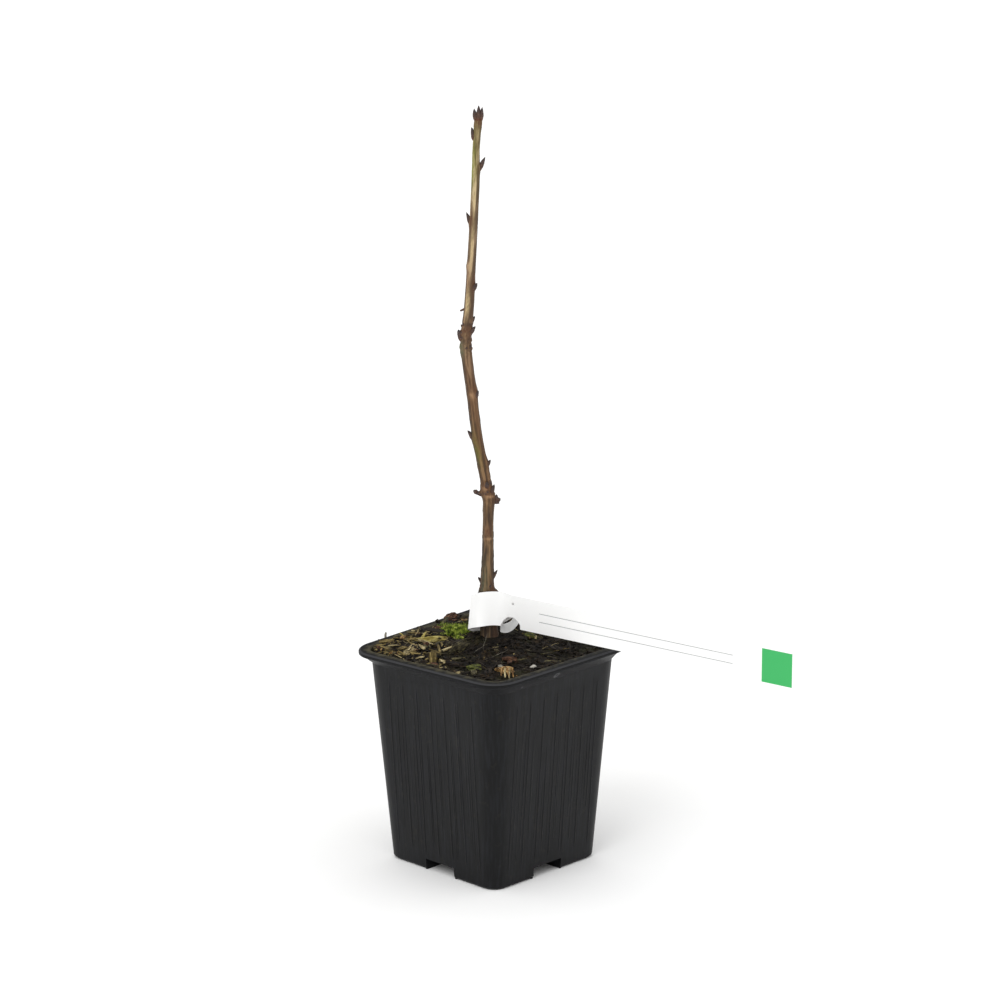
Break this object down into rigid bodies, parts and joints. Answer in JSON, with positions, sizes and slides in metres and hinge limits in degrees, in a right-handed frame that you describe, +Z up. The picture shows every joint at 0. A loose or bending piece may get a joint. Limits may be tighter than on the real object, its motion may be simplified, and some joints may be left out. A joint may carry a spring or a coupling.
{
  "type": "potted white currant bush",
  "caption": "Young leafless white currant, a single budded stem in a tapered square plastic nursery pot filled with compost, with a plastic loop label round its foot.",
  "frame": {"origin": "middle of the pot's underside, on the ground, on the pot's middle foot", "axes": "+Z up along the stem; X and Y run along the pot's walls, and the label's tail points towards -Y"},
  "size_m": [0.0952, 0.2052, 0.3429],
  "materials": {
    "pot": "charcoal moulded polypropylene with a low satin sheen",
    "compost": "damp dark potting compost, rough and crumbly",
    "bark": "smooth young bark, brown below and olive above, with fine upright streaks",
    "bud": "dry brown bud scales",
    "pale_bark": "weathered straw-coloured bark chip",
    "warm_bark": "fresh orange-brown bark chip",
    "dark_bark": "wet dark bark chip",
    "moss": "soft green moss",
    "perlite": "white crumbly grain",
    "label": "white plastic strip with a low sheen"
  },
  "bodies": {
    "root": {"pot": "pot", "compost": "compost", "stem": "bark", "bud_330_left": "bud", "bud_317_right": "bud", "bud_306_back": "bud", "bud_293_left": "bud", "bud_263_front": "bud", "bud_247_right": "bud", "bud_242_right": "bud", "bud_240_left": "bud", "bud_214_right": "bud", "bud_206_back": "bud", "bud_195_left": "bud", "bud_183_right": "bud", "bud_175_front": "bud", "bud_171_right": "bud", "bud_132_right": "bud", "bud_tip_cluster": "bud", "spur_253_left": "bud", "spur_169_left": "bud", "spur_166_right": "bud", "spur_129_left": "bud", "bark_chip_yellow": "pale_bark", "bark_chip_tan": "pale_bark", "bark_chip_upright": "pale_bark", "bark_chip_olive": "pale_bark", "bark_chip_front": "pale_bark", "bark_chip_orange": "warm_bark", "bark_chip_red": "warm_bark", "bark_chip_grey": "dark_bark", "bark_ridge": "dark_bark", "bark_spike": "dark_bark", "bark_chip_back": "dark_bark", "bark_chip_right": "dark_bark", "moss_clump": "moss", "perlite_grain": "perlite", "loop_label": "label"}
  },
  "joints": []
}
